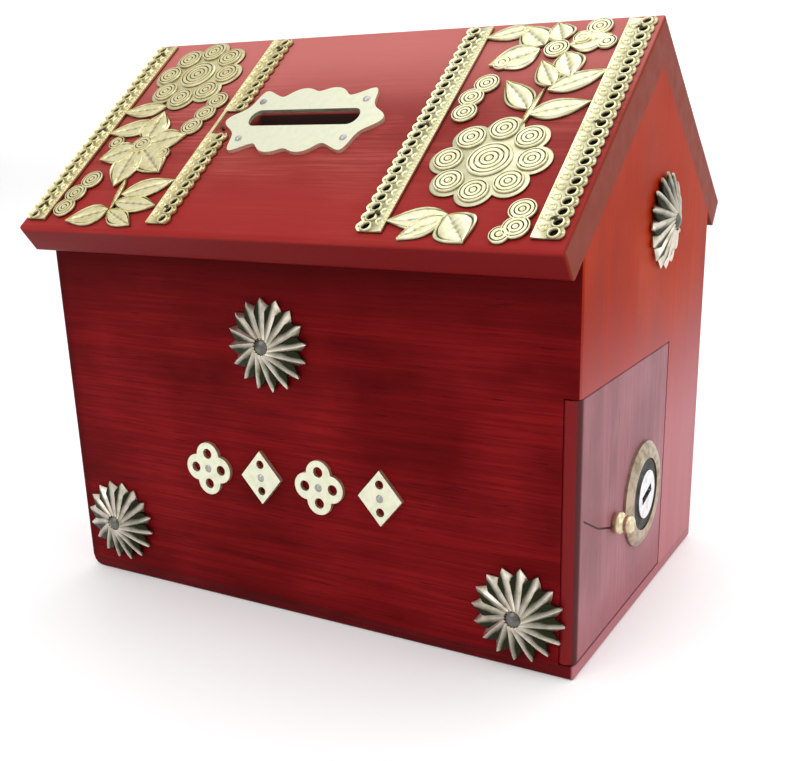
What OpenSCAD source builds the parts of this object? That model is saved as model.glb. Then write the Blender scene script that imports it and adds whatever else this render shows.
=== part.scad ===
// House-shaped wooden money box with a brass coin slot, stamped brass trim
// and a small locked door in its right-hand side. Units are millimetres.
// The origin is the centre of the underside: +Z up, -Y the front, +X the door side.

/* [Box] */
// Length of the box and of its roof
body_w = 132; // [124:1:150]
// Depth of the box over its front and back walls
body_d = 86; // [80:1:96]
// Height of the ridge above the table
ridge_h = 127; // [120:1:140]
// Thickness of the walls and of the door
wall_t = 7; // [6:0.5:8]
// Thickness of the thin board under the walls
base_t = 3; // [2.5:0.5:4]

/* [Roof] */
// Depth of the roof from eave to eave
roof_d = 105; // [100:1:112]
// Slope of the roof above level
roof_angle = 37.5; // [34:0.5:40]
// Thickness of the roof boards
roof_t = 7.5; // [6:0.5:9]

/* [Coin slot] */
// Middle of the slot, left or right of the centre line
slot_x = -5.5; // [-8:0.5:2]
// Middle of the slot, measured down the slope from the ridge
slot_down = 31; // [28:0.5:34]
// Length of the slot in the brass plate
slot_len = 28.5; // [27:0.5:30]
// Gap that a coin drops through, seen from above
slot_gap = 4.2; // [4.1:0.1:5]

/* [Door] */
// Height of the door opening above the table
door_top = 58.5; // [55:0.5:62]
// Rear edge of the door, behind the middle of the box
door_rear = 13.7; // [12:0.1:16]
// Height of the lock above the table
lock_z = 27.2; // [25:0.1:32]
// Middle of the lock, in front of the middle of the box
lock_y = -3.3; // [-4:0.1:0]
// Pull knob in front of the lock
knob_y = -21; // [-24:0.5:-19]
// Height of the pull knob
knob_z = 26.6; // [22:0.1:32]

/* [Brass trim] */
// Thickness of the stamped brass sheet
sheet_t = 0.7; // [0.5:0.1:1]
// Width of each pierced strip on the roof
strip_w = 42; // [40:0.5:43]
// Middle of each strip from the centre line
strip_x = 44; // [43:0.5:44.5]
// Radius of a rosette to the tips of its petals
rosette_r = 10.3; // [9:0.1:11]
// Height of a rosette's crown
rosette_h = 3.2; // [2:0.1:4]
// Height of an ornament on the front wall
ornament_h = 12.5; // [11:0.5:14]

/* [Hidden] */
$fn = 48;
eps = 0.01;
over = 1;                       // how far a cutter runs past a face

half_w = body_w / 2;
half_d = body_d / 2;
roof_rise = tan(roof_angle);
roof_drop = roof_t / cos(roof_angle);   // roof thickness measured plumb
slope_len = roof_d / 2 / cos(roof_angle);
mid_wall = wall_t / 2;

// Door hinge: two thin pins close behind the front corner
hinge_in = 2.2;
hinge_x = half_w - hinge_in;
hinge_y = -half_d + hinge_in;
hinge_pin_r = 0.7;
hinge_clear = 0.05;             // running clearance round a pin
edge_clear = 0.25;              // air in front of the door's rounded edge
door_gap = 0.3;                 // air above, below and in the mitre
rear_gap = 0.5;                 // air behind the door's rear edge
lip_in = 1.0;                   // front wall stops this far short of the pin
pin_in_door = 7.5;
pin_in_wall = 7.5;
nail_head_t = 0.8;
nail_head_r = 1.6;

// The coin slot is cut plumb; the wood stands back from the brass
slot_set_back = 0.5;
slot_plan_y = -slot_down * cos(roof_angle);

// Cleat inside, behind the door's rear edge
cleat_t = 3;
cleat_w = 9;
cleat_lap = 2;
cleat_h = 46;

// Wire nails of the carcass
nail_r = 0.6;
base_nail_len = 14;
brad_len = 18;
brad_sunk = 1;
brad_down = [16, 44];
base_nail_places = [
    for (x = [-42, 0, 42], s = [-1, 1]) [x, s * (half_d - mid_wall)],
    for (y = [-20, 20]) [-half_w + mid_wall, y],
    [half_w - mid_wall, 28]
];

// Places on the front wall: [x, z]
rosette_top_at = [-4.5, 63];
rosette_left_at = [-53.5, 14.5];
rosette_right_at = [54, 12.5];
ornament_z = 32.5;
ornament_x = [-23.5, -8.5, 7, 22.5];
// Place on the gables: [y, z]
gable_rosette_at = [4.5, 86.5];
petals = 16;
rosette_dome = (rosette_r * rosette_r + rosette_h * rosette_h) / (2 * rosette_h);

// Small trim pins: [head radius, head height, shank radius, shank length]
rosette_pin = [1.6, 0.8, 0.7, 8];
rosette_seat = rosette_h - rosette_dome
    + sqrt(rosette_dome * rosette_dome - rosette_pin[0] * rosette_pin[0]);
ornament_pin = [0.9, 0.5, 0.45, 5];
plate_pin = [0.9, 0.5, 0.45, 5];
strip_pin = [0.6, 0.35, 0.3, 4];
ornament_t = 1.1;
plate_t = 0.9;
plate_pin_at = [13.6, 6.2];
plate_tip = 21.3;
plate_corner = [14.8, 10.8];

// Lock, measured outward from the door's outer face
ring_r = 12;
ring_h = 1.6;
ring_in_r = 8.2;
ring_floor_t = 0.5;
barrel_r = 7.2;
barrel_slack = 0.15;            // room round the barrel in the door
flange_r = 8;
flange_t = 0.6;
plug_r = 5.5;
plug_proud = 1.6;
plug_clear = 0.05;
nut_t = 3;
nut_r = 10.4;
barrel_back = wall_t + nut_t;
cam_t = 1.5;
cam_gap = 0.4;
cam_w = 8;
cam_reach = 21;
keyway = [2, 6.5];
keyway_deep = 9;
key_turn = 16;                  // lean of the key slot above level at rest
plug_back = barrel_back + cam_gap;
tail_r = 2.6;
screw_r = 1.2;
screw_in = 4.5;
screw_head_r = 3.4;
screw_head_t = 1.4;
wafer_n = 4;
wafer_t = 0.6;
wafer_size = [6.6, 2.6];
wafer_first = 2.5;              // depth of the first wafer behind the door's face
wafer_step = 1.5;
wafer_shift = 0.6;
wafer_rim = 0.9;
wafer_clear = 0.05;

// Pull knob
knob_stem_r = 0.9;
knob_stem_len = 5;

// Pierced strips
border_w = 6;
link_pitch = 3.2;
flower_r = 5.4;
coil_r = 3.9;
coil_ring_r = 8.8;
strip_top = 1.2;                // bare wood left along the ridge
strip_len = slope_len - 2.4;
strip_nail_links = [1, 10, 18];
strip_nail_down = [for (n = strip_nail_links) strip_top + link_pitch * n];
strip_notch_w = 7;              // room in a strip for the slot plate's tip

wood_red = [0.52, 0.08, 0.11];
wood_orange = [0.68, 0.23, 0.12];
wood_mauve = [0.62, 0.36, 0.4];
wood_brown = [0.3, 0.12, 0.1];
brass_pale = [0.9, 0.87, 0.68];
brass_yellow = [0.8, 0.7, 0.42];
steel_grey = [0.55, 0.55, 0.56];
chrome_bright = [0.85, 0.86, 0.88];

// Height of the roof's underside at a distance from the ridge's plane
function underside_z(y) = ridge_h - roof_drop - abs(y) * roof_rise;

// A Y-Z outline pushed along X, centred
module along_x(len) {
    translate([-len / 2, 0, 0])
        rotate([90, 0, 90])
            linear_extrude(len)
                children();
}

// Children drawn flat are laid on the front slope: +Y up the slope from the ridge line
module on_front_slope() {
    translate([0, 0, ridge_h])
        rotate([roof_angle, 0, 0])
            children();
}

// Children drawn flat, +Z out of the surface, are put on the front wall
module on_front_wall(x, z) {
    translate([x, -half_d, z])
        rotate([90, 0, 0])
            children();
}

// The same on a gable: side is 1 on the right and -1 on the left
module on_gable(side, y, z) {
    translate([side * half_w, y, z])
        rotate([0, side * 90, 0])
            rotate([0, 0, side * 90])
                children();
}

module under_roof() {
    reach = half_d + over;
    along_x(body_w + 2 * over)
        polygon([
            [-reach, 0], [reach, 0], [reach, underside_z(reach)],
            [0, underside_z(0)], [-reach, underside_z(reach)]
        ]);
}

// A domed pin standing on z = 0 with its shank below
module trim_pin(size) {
    dome = (size[0] * size[0] + size[1] * size[1]) / (2 * size[1]);
    intersection() {
        translate([0, 0, size[1] - dome]) sphere(dome);
        cylinder(h = size[1] + over, r = size[0]);
    }
    translate([0, 0, -size[3]]) cylinder(h = size[3] + size[1] / 2, r = size[2]);
}

// Hole for a pin whose head stands the given height above z = 0
module pin_hole(size, raised = 0) {
    translate([0, 0, raised - size[3]])
        cylinder(h = size[3] - raised + 2 * over, r = size[2]);
}

// Wire nails through the base board, heads let into the underside
module base_nail_solids() {
    for (p = base_nail_places)
        translate([p[0], p[1], 0]) {
            cylinder(h = nail_head_t, r = nail_head_r);
            cylinder(h = base_nail_len, r = nail_r);
        }
}

// Headless brads through both roof boards into the gables
module roof_brad_solids() {
    for (turn = [0, 180], side = [-1, 1], down = brad_down)
        rotate([0, 0, turn])
            on_front_slope()
                translate([side * (half_w - mid_wall), -down, -brad_sunk - brad_len])
                    cylinder(h = brad_len, r = nail_r);
}

module pivot_nail_solid() {
    translate([hinge_x, hinge_y, 0]) {
        cylinder(h = nail_head_t, r = nail_head_r);
        cylinder(h = base_t + door_gap + pin_in_door, r = hinge_pin_r);
    }
}

module pivot_pin_solid() {
    translate([hinge_x, hinge_y, door_top - door_gap - pin_in_door])
        cylinder(h = door_gap + pin_in_door + pin_in_wall, r = hinge_pin_r);
}

module wall_blank(outline) {
    intersection() {
        translate([0, 0, base_t]) linear_extrude(ridge_h) polygon(outline);
        under_roof();
    }
}

module front_pins(size, places, raised) {
    for (p = places) on_front_wall(p[0], p[1]) pin_hole(size, raised);
}

function ornament_places() = [for (x = ornament_x) [x, ornament_z]];
function rosette_places() = [rosette_top_at, rosette_left_at, rosette_right_at];
function plate_pin_places() = [for (sx = [-1, 1], sy = [-1, 1]) [sx * plate_pin_at[0], sy * plate_pin_at[1]]];
function strip_pin_places() = [
    for (side = [-1, 1], edge = [-1, 1], down = strip_nail_down)
        [side * strip_x + edge * (strip_w - border_w) / 2, -down]
];

// Plumb cutter for the coin slot, round at both ends
module coin_slot(grow) {
    gap = slot_gap + 2 * grow;
    straight = slot_len - slot_gap;
    translate([slot_x, slot_plan_y, 0])
        linear_extrude(ridge_h + over) {
            square([straight, gap], center = true);
            for (s = [-1, 1]) translate([s * straight / 2, 0]) circle(d = gap);
        }
}

module base_board() {
    color(wood_brown)
        difference() {
            translate([-half_w, -half_d, 0]) cube([body_w, body_d, base_t]);
            base_nail_solids();
            pivot_nail_solid();
        }
}

module front_wall() {
    color(wood_red)
        difference() {
            wall_blank([
                [-half_w, -half_d], [half_w, -half_d],
                [half_w - wall_t, -half_d + wall_t], [-half_w + wall_t, -half_d + wall_t]
            ]);
            // Room for the door's rounded front edge
            translate([hinge_x, hinge_y, 0])
                cylinder(h = door_top, r = hinge_in + edge_clear);
            translate([hinge_x - lip_in, -half_d - over, 0])
                cube([hinge_in + lip_in + over, hinge_in + over, door_top]);
            pivot_pin_solid();
            base_nail_solids();
            front_pins(rosette_pin, rosette_places(), rosette_seat);
            front_pins(ornament_pin, ornament_places(), ornament_t);
        }
}

module back_wall() {
    color(wood_red)
        difference() {
            wall_blank([
                [half_w, half_d], [-half_w, half_d],
                [-half_w + wall_t, half_d - wall_t], [half_w - wall_t, half_d - wall_t]
            ]);
            base_nail_solids();
        }
}

function gable_outline(side) = [
    [side * half_w, -half_d], [side * half_w, half_d],
    [side * (half_w - wall_t), half_d - wall_t], [side * (half_w - wall_t), -half_d + wall_t]
];

module left_gable_wall() {
    color(wood_orange)
        difference() {
            wall_blank(gable_outline(-1));
            base_nail_solids();
            roof_brad_solids();
            on_gable(-1, gable_rosette_at[0], gable_rosette_at[1])
                pin_hole(rosette_pin, rosette_seat);
        }
}

module right_gable_wall() {
    color(wood_orange)
        difference() {
            wall_blank(gable_outline(1));
            // Door opening, open at the front corner and at the bottom
            translate([half_w - wall_t - over, -half_d - over, 0])
                cube([wall_t + 2 * over, half_d + door_rear + rear_gap + over, door_top]);
            pivot_pin_solid();
            base_nail_solids();
            roof_brad_solids();
            on_gable(1, gable_rosette_at[0], gable_rosette_at[1])
                pin_hole(rosette_pin, rosette_seat);
        }
}

module roof_board_blank() {
    eave = [-roof_d / 2, ridge_h - roof_d / 2 * roof_rise];
    along_x(body_w)
        polygon([
            [0, ridge_h], eave,
            eave + roof_t * [sin(roof_angle), -cos(roof_angle)],
            [0, ridge_h - roof_drop]
        ]);
}

module front_roof_board() {
    color(wood_red)
        difference() {
            roof_board_blank();
            coin_slot(slot_set_back);
            roof_brad_solids();
            on_front_slope() {
                translate([slot_x, -slot_down, 0])
                    for (p = plate_pin_places()) translate(p) pin_hole(plate_pin, plate_t);
                for (p = strip_pin_places()) translate(p) pin_hole(strip_pin, sheet_t);
            }
        }
}

module back_roof_board() {
    color(wood_red)
        difference() {
            rotate([0, 0, 180]) roof_board_blank();
            roof_brad_solids();
        }
}

// Plan of the door: mitred at the front, rounded about the hinge pins
module door_plan() {
    miter_shift = door_gap * sqrt(2);
    polygon([
        [half_w, hinge_y], [half_w, door_rear], [half_w - wall_t, door_rear],
        [half_w - wall_t, -half_d + wall_t + miter_shift], [hinge_x, hinge_y + miter_shift]
    ]);
    translate([hinge_x, hinge_y]) circle(hinge_in);
}

module door_panel() {
    bottom = base_t + door_gap;
    tall = door_top - door_gap - bottom;
    pin_bore = pin_in_door + door_gap;
    color(wood_mauve)
        difference() {
            translate([0, 0, bottom]) linear_extrude(tall) door_plan();
            translate([hinge_x, hinge_y, bottom - over])
                cylinder(h = pin_bore + over, r = hinge_pin_r + hinge_clear);
            translate([hinge_x, hinge_y, bottom + tall - pin_bore])
                cylinder(h = pin_bore + over, r = hinge_pin_r + hinge_clear);
            on_gable(1, lock_y, lock_z)
                translate([0, 0, -wall_t - over]) cylinder(h = wall_t + 2 * over, r = barrel_r + barrel_slack);
            on_gable(1, knob_y, knob_z)
                translate([0, 0, -knob_stem_len]) cylinder(h = knob_stem_len + over, r = knob_stem_r);
        }
}

// Strip of wood glued inside the gable: the door rests on it and the cam turns behind it
module door_stop_cleat() {
    front = door_rear - cleat_lap;
    color(wood_brown)
        difference() {
            translate([half_w - wall_t - cleat_t, front, base_t])
                cube([cleat_t, cleat_w, cleat_h]);
            translate([half_w - wall_t - door_gap, front - over, base_t - over])
                cube([door_gap + over, cleat_lap + rear_gap + over, cleat_h + 2 * over]);
        }
}

module door_pivot_nail() {
    color(steel_grey) pivot_nail_solid();
}

module door_pivot_pin() {
    color(steel_grey) pivot_pin_solid();
}

module base_nails() {
    color(steel_grey) base_nail_solids();
}

module roof_brads() {
    color(steel_grey) roof_brad_solids();
}

// Slot plate: pointed ends, horned corners and two lobes on each long side
module slot_plate_outline() {
    lobe_r = 4.6;
    lobe_at = [3.9, 6.2];
    bite_r = 3.9;
    bite_at = [19.6, 6.3];
    waist = [16.2, 5.2];
    shoulder = [8.6, 7.2];
    difference() {
        union() {
            polygon([
                [plate_tip, 0], waist, plate_corner, shoulder,
                [-shoulder[0], shoulder[1]], [-plate_corner[0], plate_corner[1]],
                [-waist[0], waist[1]], [-plate_tip, 0], -waist, -plate_corner, -shoulder,
                [shoulder[0], -shoulder[1]], [plate_corner[0], -plate_corner[1]],
                [waist[0], -waist[1]]
            ]);
            for (sx = [-1, 1], sy = [-1, 1])
                translate([sx * lobe_at[0], sy * lobe_at[1]]) circle(lobe_r);
        }
        // Hollow curves between the tips and the corners
        for (sx = [-1, 1], sy = [-1, 1])
            translate([sx * bite_at[0], sy * bite_at[1]]) circle(bite_r);
    }
}

module coin_slot_plate() {
    color(brass_pale)
        difference() {
            on_front_slope()
                translate([slot_x, -slot_down, 0])
                    difference() {
                        linear_extrude(plate_t) slot_plate_outline();
                        for (p = plate_pin_places()) translate(p) pin_hole(plate_pin);
                    }
            coin_slot(0);
        }
}

module slot_plate_nails() {
    color(steel_grey)
        on_front_slope()
            for (p = plate_pin_places())
                translate([slot_x + p[0], -slot_down + p[1], plate_t]) trim_pin(plate_pin);
}

// Leaf between two arcs, from the origin along +Y
module leaf(len, wide) {
    r = (len * len / 4 + wide * wide / 4) / wide;
    intersection() {
        translate([r - wide / 2, len / 2]) circle(r);
        translate([wide / 2 - r, len / 2]) circle(r);
    }
}

module coil_flower() {
    circle(flower_r);
    for (i = [0:7]) rotate(i * 45) translate([coil_ring_r, 0]) circle(coil_r);
}

module leaf_flower() {
    circle(flower_r * 0.7);
    for (i = [0:7]) rotate(i * 45 + 22.5) leaf(13, 6.4);
}

// One border of a strip: a band with a scalloped edge and a row of link holes
module strip_border() {
    count = floor(strip_len / link_pitch);
    difference() {
        union() {
            translate([-border_w / 2 + 0.8, -strip_top - strip_len])
                square([border_w - 1.6, strip_len]);
            for (i = [0:count - 1], s = [-1, 1])
                translate([s * (border_w / 2 - 1.5), -strip_top - link_pitch * (i + 0.5)])
                    circle(1.5, $fn = 24);
        }
        for (i = [0:count - 1])
            translate([0, -strip_top - link_pitch * (i + 0.5)]) circle(0.8, $fn = 24);
    }
}

// One pierced strip, flowers at the given distances down the slope
module strip_outline(coil_down, leaf_down, spray_down) {
    edge = (strip_w - border_w) / 2;
    for (s = [-1, 1]) translate([s * edge, 0]) strip_border();
    intersection() {
        translate([-edge, -strip_top - strip_len]) square([2 * edge, strip_len]);
        union() {
            for (d = coil_down) translate([0, -d]) coil_flower();
            for (d = leaf_down) translate([0, -d]) leaf_flower();
            for (d = spray_down, s = [-1, 1], tilt = [35, 75])
                translate([0, -d]) rotate(s * tilt) translate([0, -1]) leaf(18, 5.5);
            // Thin stems tie the flowers to the borders
            for (d = concat(coil_down, leaf_down)) translate([-edge, -d - 0.8]) square([2 * edge, 1.6]);
            translate([-0.8, -strip_top - strip_len]) square([1.6, strip_len]);
        }
    }
}

module roof_strip(side, coil_down, leaf_down, spray_down) {
    color(brass_pale)
        on_front_slope()
            difference() {
                linear_extrude(sheet_t)
                    difference() {
                        translate([side * strip_x, 0]) strip_outline(coil_down, leaf_down, spray_down);
                        translate([slot_x, -slot_down]) plate_tip_notch();
                    }
                for (p = strip_pin_places()) translate(p) pin_hole(strip_pin);
            }
}

// Notch that lets the slot plate's tip lie flat on the wood
module plate_tip_notch() {
    room = 0.3;
    square([2 * (plate_tip + room), strip_notch_w], center = true);
}

module left_roof_strip() {
    roof_strip(-1, [10.6], [38], [66]);
}

module right_roof_strip() {
    roof_strip(1, [44.5], [9.5], [31, 66.5]);
}

module roof_strip_nails() {
    color(brass_yellow)
        on_front_slope()
            for (p = strip_pin_places()) translate([p[0], p[1], sheet_t]) trim_pin(strip_pin);
}

// Star of pointed petals under a low dome
module rosette() {
    valley_r = rosette_r * 0.82;
    color(brass_pale)
        difference() {
            intersection() {
                linear_extrude(rosette_h + over)
                    polygon([
                        for (i = [0:2 * petals - 1])
                            (i % 2 == 0 ? rosette_r - 0.3 : valley_r)
                                * [cos(180 * i / petals), sin(180 * i / petals)]
                    ]);
                translate([0, 0, rosette_h - rosette_dome]) sphere(rosette_dome, $fn = 96);
            }
            translate([0, 0, rosette_seat]) {
                pin_hole(rosette_pin);
                cylinder(h = over, r = rosette_pin[0]);
            }
        }
}

module front_rosette(at) {
    on_front_wall(at[0], at[1]) rosette();
}

module front_rosette_top() {
    front_rosette(rosette_top_at);
}

module front_rosette_left() {
    front_rosette(rosette_left_at);
}

module front_rosette_right() {
    front_rosette(rosette_right_at);
}

module right_gable_rosette() {
    on_gable(1, gable_rosette_at[0], gable_rosette_at[1]) rosette();
}

module left_gable_rosette() {
    on_gable(-1, gable_rosette_at[0], gable_rosette_at[1]) rosette();
}

module rosette_nails() {
    color(steel_grey) {
        for (p = rosette_places())
            on_front_wall(p[0], p[1]) translate([0, 0, rosette_seat]) trim_pin(rosette_pin);
        for (s = [-1, 1])
            on_gable(s, gable_rosette_at[0], gable_rosette_at[1])
                translate([0, 0, rosette_seat]) trim_pin(rosette_pin);
    }
}

// Pierced four-lobed ornament
module quatrefoil() {
    lobe = ornament_h / 4;
    difference() {
        union() {
            for (i = [0:3]) rotate(i * 90) translate([0, lobe]) circle(lobe);
            square(lobe * 2, center = true);
        }
        for (i = [0:3]) rotate(i * 90) translate([0, lobe * 1.15]) circle(lobe * 0.38);
    }
}

// Pierced diamond with hollow sides
module diamond() {
    half = ornament_h / 2;
    difference() {
        polygon([[half * 0.86, 0], [0, half], [-half * 0.86, 0], [0, -half]]);
        for (sx = [-1, 1], sy = [-1, 1]) translate([sx * half * 0.9, sy * half]) circle(half * 0.62);
        for (s = [-1, 1]) translate([0, s * half * 0.5]) circle(half * 0.16);
    }
}

module front_ornament(index) {
    color(brass_pale)
        on_front_wall(ornament_x[index], ornament_z)
            difference() {
                linear_extrude(ornament_t)
                    if (index % 2 == 0) quatrefoil(); else diamond();
                pin_hole(ornament_pin);
            }
}

module front_ornament_1() {
    front_ornament(0);
}

module front_ornament_2() {
    front_ornament(1);
}

module front_ornament_3() {
    front_ornament(2);
}

module front_ornament_4() {
    front_ornament(3);
}

module ornament_nails() {
    color(steel_grey)
        for (p = ornament_places())
            on_front_wall(p[0], p[1]) translate([0, 0, ornament_t]) trim_pin(ornament_pin);
}

module on_lock() {
    on_gable(1, lock_y, lock_z) children();
}

// Domed brass ring round the lock, with a sunk floor for the barrel's flange
module lock_escutcheon() {
    color(brass_yellow)
        on_lock()
            rotate_extrude($fn = 96)
                polygon([
                    [barrel_r, 0], [ring_r, 0], [ring_r, ring_h * 0.4],
                    [ring_r - 1, ring_h * 0.8], [ring_in_r + 1.2, ring_h],
                    [ring_in_r, ring_h * 0.85],
                    [ring_in_r, ring_floor_t], [barrel_r, ring_floor_t]
                ]);
}

module lock_barrel() {
    color(steel_grey)
        on_lock()
            difference() {
                union() {
                    translate([0, 0, -barrel_back])
                        cylinder(h = barrel_back + ring_floor_t, r = barrel_r);
                    translate([0, 0, ring_floor_t]) cylinder(h = flange_t, r = flange_r);
                }
                translate([0, 0, -barrel_back - over])
                    cylinder(h = barrel_back + 3 * over, r = plug_r + plug_clear);
            }
}

module lock_nut() {
    color(steel_grey)
        on_lock()
            translate([0, 0, -barrel_back])
                difference() {
                    cylinder(h = nut_t, r = nut_r, $fn = 6);
                    translate([0, 0, -over]) cylinder(h = nut_t + 2 * over, r = barrel_r);
                }
}

module wafer_stack(grow) {
    for (i = [0:wafer_n - 1])
        translate([
            -wafer_size[0] / 2 - grow, keyway[0] / 2 - wafer_size[1] / 2 - grow + wafer_shift,
            -wafer_first - i * wafer_step - grow
        ])
            cube([wafer_size[0] + 2 * grow, wafer_size[1] + 2 * grow, wafer_t + 2 * grow]);
}

// Turning core: key slot in front, a round tail for the cam behind
module lock_plug() {
    color(chrome_bright)
        on_lock()
            rotate([0, 0, key_turn])
                difference() {
                    union() {
                        translate([0, 0, -plug_back]) cylinder(h = plug_back + plug_proud, r = plug_r);
                        translate([0, 0, -plug_back - cam_t]) cylinder(h = cam_t + eps, r = tail_r);
                    }
                    translate([-keyway[1] / 2, -keyway[0] / 2, plug_proud - keyway_deep])
                        cube([keyway[1], keyway[0], keyway_deep + over]);
                    wafer_stack(wafer_clear);
                    translate([0, 0, -plug_back - cam_t - over])
                        cylinder(h = screw_in + over, r = screw_r);
                }
}

module lock_wafers() {
    color(brass_yellow)
        on_lock()
            rotate([0, 0, key_turn])
                difference() {
                    wafer_stack(0);
                    translate([-keyway[1] / 2 + wafer_rim, -keyway[0] / 2, -keyway_deep])
                        cube([keyway[1] - 2 * wafer_rim, keyway[0], keyway_deep]);
                }
}

// Flat cam, hanging straight down while the lock is open
module lock_cam() {
    color(steel_grey)
        on_lock()
            translate([0, 0, -plug_back - cam_t])
                difference() {
                    linear_extrude(cam_t) {
                        circle(cam_w / 2 + 0.6);
                        rotate(-90) translate([0, -cam_w / 2]) square([cam_reach - cam_w / 2, cam_w]);
                        rotate(-90) translate([cam_reach - cam_w / 2, 0]) circle(cam_w / 2);
                    }
                    translate([0, 0, -over]) cylinder(h = cam_t + 2 * over, r = tail_r);
                }
}

module cam_screw() {
    slit = [0.8, 0.7];
    color(steel_grey)
        on_lock()
            translate([0, 0, -plug_back - cam_t])
                difference() {
                    union() {
                        cylinder(h = screw_in, r = screw_r);
                        translate([0, 0, -screw_head_t]) cylinder(h = screw_head_t, r = screw_head_r);
                    }
                    translate([-screw_head_r - over, -slit[0] / 2, -screw_head_t - over])
                        cube([2 * (screw_head_r + over), slit[0], slit[1] + over]);
                }
}

// Turned pull: a round foot, a narrow neck and a dished head
module door_knob() {
    color(brass_yellow)
        on_gable(1, knob_y, knob_z)
            rotate_extrude($fn = 64)
                polygon([
                    [0, -knob_stem_len], [knob_stem_r, -knob_stem_len], [knob_stem_r, 0],
                    [2, 0], [2.4, 0.6], [2.5, 1.2], [2.3, 1.8], [1.8, 2.2], [1.7, 2.4],
                    [1.9, 2.7], [2, 3.2], [1.8, 3.9], [1.3, 4.3], [0.7, 4.4], [0.5, 4], [0, 4]
                ]);
}

base_board();
front_wall();
back_wall();
left_gable_wall();
right_gable_wall();
front_roof_board();
back_roof_board();
door_panel();
door_stop_cleat();
door_pivot_nail();
door_pivot_pin();
base_nails();
roof_brads();
coin_slot_plate();
slot_plate_nails();
left_roof_strip();
right_roof_strip();
roof_strip_nails();
front_rosette_top();
front_rosette_left();
front_rosette_right();
right_gable_rosette();
left_gable_rosette();
rosette_nails();
front_ornament_1();
front_ornament_2();
front_ornament_3();
front_ornament_4();
ornament_nails();
lock_escutcheon();
lock_barrel();
lock_nut();
lock_plug();
lock_wafers();
lock_cam();
cam_screw();
door_knob();
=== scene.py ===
# House-shaped wooden money box: stained boards, stamped brass trim, a small locking door.
# Everything is in metres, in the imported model's own frame. Sizes in the dictionaries are in millimetres.
import math

import bmesh
import bpy
from mathutils import Matrix, Vector


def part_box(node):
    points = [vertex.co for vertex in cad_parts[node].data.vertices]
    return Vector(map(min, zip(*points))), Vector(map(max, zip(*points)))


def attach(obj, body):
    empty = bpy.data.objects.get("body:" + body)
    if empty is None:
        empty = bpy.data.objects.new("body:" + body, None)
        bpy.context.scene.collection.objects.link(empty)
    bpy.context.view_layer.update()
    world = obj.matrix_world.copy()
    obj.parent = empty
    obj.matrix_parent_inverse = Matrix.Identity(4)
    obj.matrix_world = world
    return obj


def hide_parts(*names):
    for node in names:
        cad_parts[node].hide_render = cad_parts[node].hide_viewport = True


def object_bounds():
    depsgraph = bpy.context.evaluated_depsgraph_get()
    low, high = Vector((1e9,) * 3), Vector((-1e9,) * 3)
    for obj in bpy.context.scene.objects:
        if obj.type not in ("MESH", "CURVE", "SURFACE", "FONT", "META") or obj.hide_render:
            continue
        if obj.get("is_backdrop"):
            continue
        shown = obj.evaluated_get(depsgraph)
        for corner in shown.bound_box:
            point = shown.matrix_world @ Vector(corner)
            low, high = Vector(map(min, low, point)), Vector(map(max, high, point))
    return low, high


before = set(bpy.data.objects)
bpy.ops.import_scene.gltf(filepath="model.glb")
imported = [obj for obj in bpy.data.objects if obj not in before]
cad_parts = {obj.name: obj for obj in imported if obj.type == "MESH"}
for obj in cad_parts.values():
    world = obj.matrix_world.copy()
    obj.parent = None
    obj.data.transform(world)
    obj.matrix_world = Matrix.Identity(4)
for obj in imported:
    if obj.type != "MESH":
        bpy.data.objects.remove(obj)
cadLow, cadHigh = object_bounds()
mm = 0.001
scene = bpy.context.scene

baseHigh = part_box("base_board")[1]
halfLong, halfDeep = baseHigh.x, baseHigh.y
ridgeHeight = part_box("front_roof_board")[1].z
roofSlope = math.radians(37.5)
up, down, front, back = (0, 0, 1), (0, 0, -1), (0, -1, 0), (0, 1, 0)
left, right = (-1, 0, 0), (1, 0, 0)

# flat trim is made in its own plane, +Z outward, and then laid on the roof, the front or a gable
onSlope = Matrix.Translation((0, 0, ridgeHeight)) @ Matrix.Rotation(roofSlope, 4, "X")


def onFront(x, z):
    return Matrix.Translation((x, -halfDeep, z)) @ Matrix.Rotation(math.pi / 2, 4, "X")


def onGable(side, y, z):
    turn = Matrix(((0, 0, side, 0), (side, 0, 0, 0), (0, 1, 0, 0), (0, 0, 0, 1)))
    return Matrix.Translation((side * halfLong, y, z)) @ turn


# camera
print("camera")
cameraSettings = {
    "eye": (131.55, -220.46, 109.84),
    "forward": (-0.46599, 0.83095, -0.30394),
    "roll": -1.296,
    "sensor": 36,
    "lens": 47.81364,
    "shift": (-0.0309343, 0.0840909),
    "nearest": 10,
}


def makeCamera(s):
    data = bpy.data.cameras.new("boxCamera")
    cam = bpy.data.objects.new("boxCamera", data)
    scene.collection.objects.link(cam)
    ahead = Vector(s["forward"]).normalized()
    level = ahead.cross(Vector(up)).normalized()
    above = level.cross(ahead)
    roll = math.radians(s["roll"])
    camX = math.cos(roll) * level + math.sin(roll) * above
    camY = -math.sin(roll) * level + math.cos(roll) * above
    place = Matrix((camX, camY, -ahead)).transposed().to_4x4()
    place.translation = Vector(s["eye"]) * mm
    cam.matrix_world = place
    data.sensor_width, data.lens = s["sensor"], s["lens"]
    data.shift_x, data.shift_y = s["shift"]
    data.clip_start = s["nearest"] * mm
    scene.camera = cam


makeCamera(cameraSettings)


# materials: noise scales are for one millimetre, masks are in millimetres
print("materials")


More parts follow.
